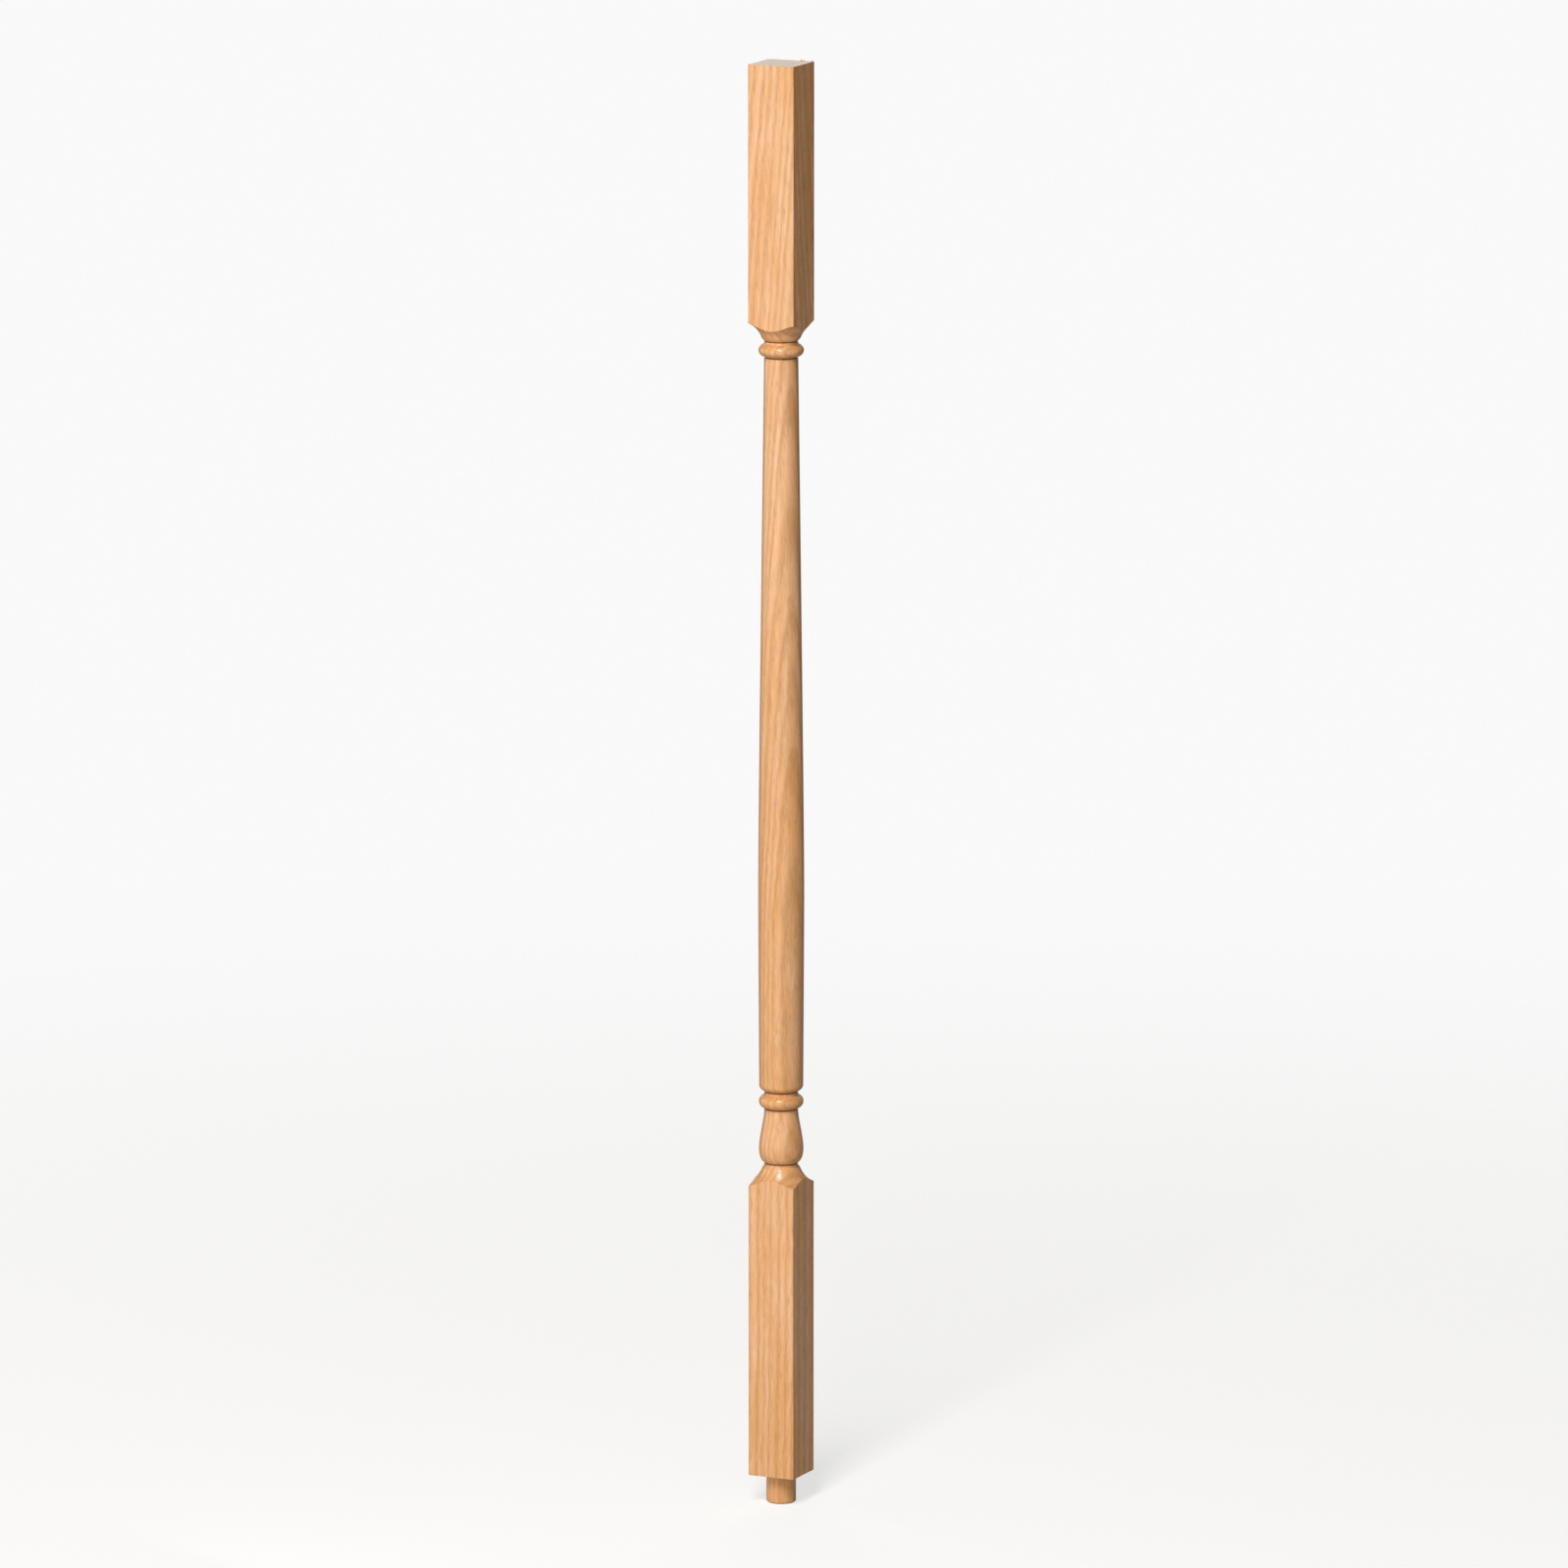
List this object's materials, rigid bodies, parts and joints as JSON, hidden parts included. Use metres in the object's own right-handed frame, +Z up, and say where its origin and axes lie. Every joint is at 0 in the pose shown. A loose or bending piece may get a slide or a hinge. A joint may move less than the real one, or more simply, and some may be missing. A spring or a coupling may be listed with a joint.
{
  "type": "stair baluster",
  "caption": "Square-ended stair baluster turned from one length of red oak, with beads, a long tapered shaft, a vase and a round pin at its foot.",
  "frame": {"origin": "centre of the flat end of the round pin, on the turning axis", "axes": "+Z up along the turning axis, from the pin to the top end; X and Y square to the faces of the two blocks"},
  "size_m": [0.0318, 0.0318, 0.9334],
  "materials": {
    "red_oak": "red oak, planed and turned, sanded smooth, with a thin satin sheen"
  },
  "bodies": {
    "root": {"baluster": "red_oak"}
  },
  "joints": []
}
